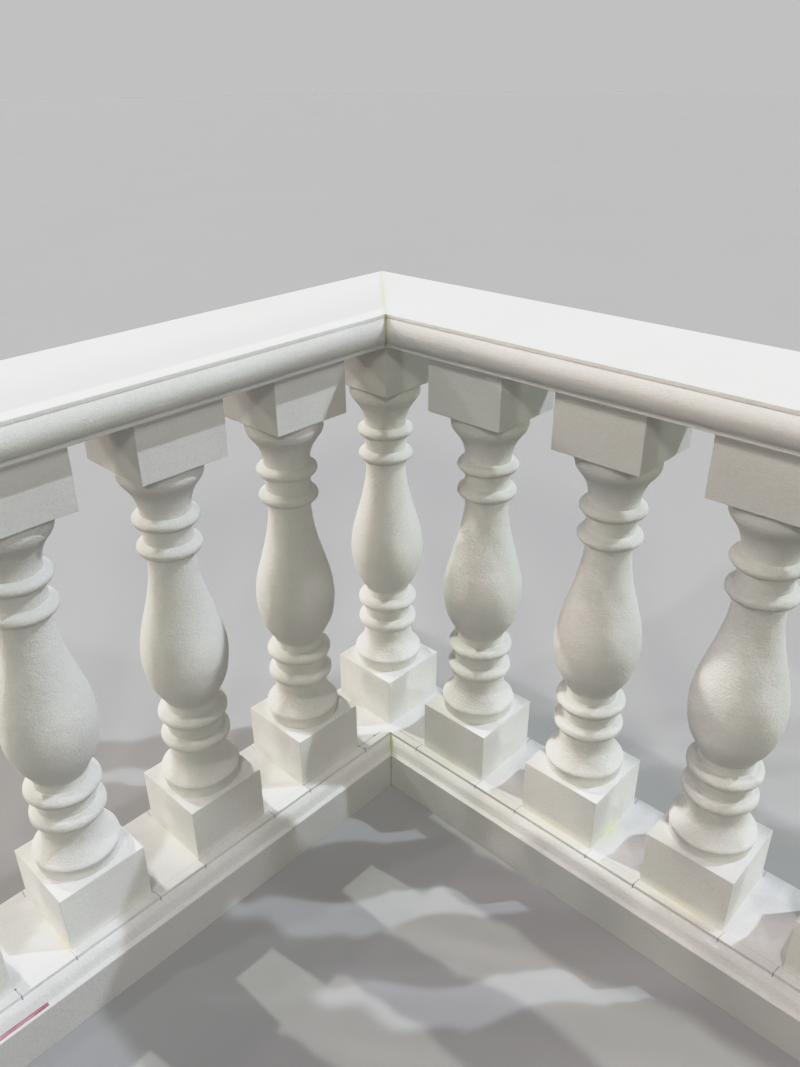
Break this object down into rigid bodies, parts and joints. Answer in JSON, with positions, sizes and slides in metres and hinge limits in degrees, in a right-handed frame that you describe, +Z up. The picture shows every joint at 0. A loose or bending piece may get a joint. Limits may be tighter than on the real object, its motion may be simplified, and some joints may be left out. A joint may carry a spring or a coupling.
{
  "type": "foam balustrade corner",
  "caption": "Inside corner of a classical balustrade in glued expanded foam: turned balusters on square plinths between a moulded base rail and a moulded hand rail, mitred at a right angle.",
  "frame": {"origin": "on the floor, under the axis of the corner baluster, on the mitre line of the base rail", "axes": "+Z up, +X along the left run seen from inside the corner, +Y along the right run; the inside of the corner faces +X +Y"},
  "size_m": [1.246, 1.246, 1.0215],
  "materials": {
    "base_foam": "matt, hot-wire cut expanded foam with a fine bead grain, glue and pencil marks",
    "rail_foam": "matt, hot-wire cut expanded foam with faint lengthwise wire lines",
    "block_foam": "matt, smooth hot-wire cut expanded foam, pale yellow glue at the foot",
    "turned_foam": "matt, turned expanded foam, grainier than the cut pieces"
  },
  "bodies": {
    "root": {"base_rail_left": "base_foam", "base_rail_right": "base_foam", "hand_rail_left": "rail_foam", "hand_rail_right": "rail_foam", "corner_plinth": "block_foam", "corner_shaft": "turned_foam", "corner_cap": "block_foam", "left1_plinth": "block_foam", "left1_shaft": "turned_foam", "left1_cap": "block_foam", "left2_plinth": "block_foam", "left2_shaft": "turned_foam", "left2_cap": "block_foam", "left3_plinth": "block_foam", "left3_shaft": "turned_foam", "left3_cap": "block_foam", "left4_plinth": "block_foam", "left4_shaft": "turned_foam", "left4_cap": "block_foam", "right1_plinth": "block_foam", "right1_shaft": "turned_foam", "right1_cap": "block_foam", "right2_plinth": "block_foam", "right2_shaft": "turned_foam", "right2_cap": "block_foam", "right3_plinth": "block_foam", "right3_shaft": "turned_foam", "right3_cap": "block_foam", "right4_plinth": "block_foam", "right4_shaft": "turned_foam", "right4_cap": "block_foam"}
  },
  "joints": []
}
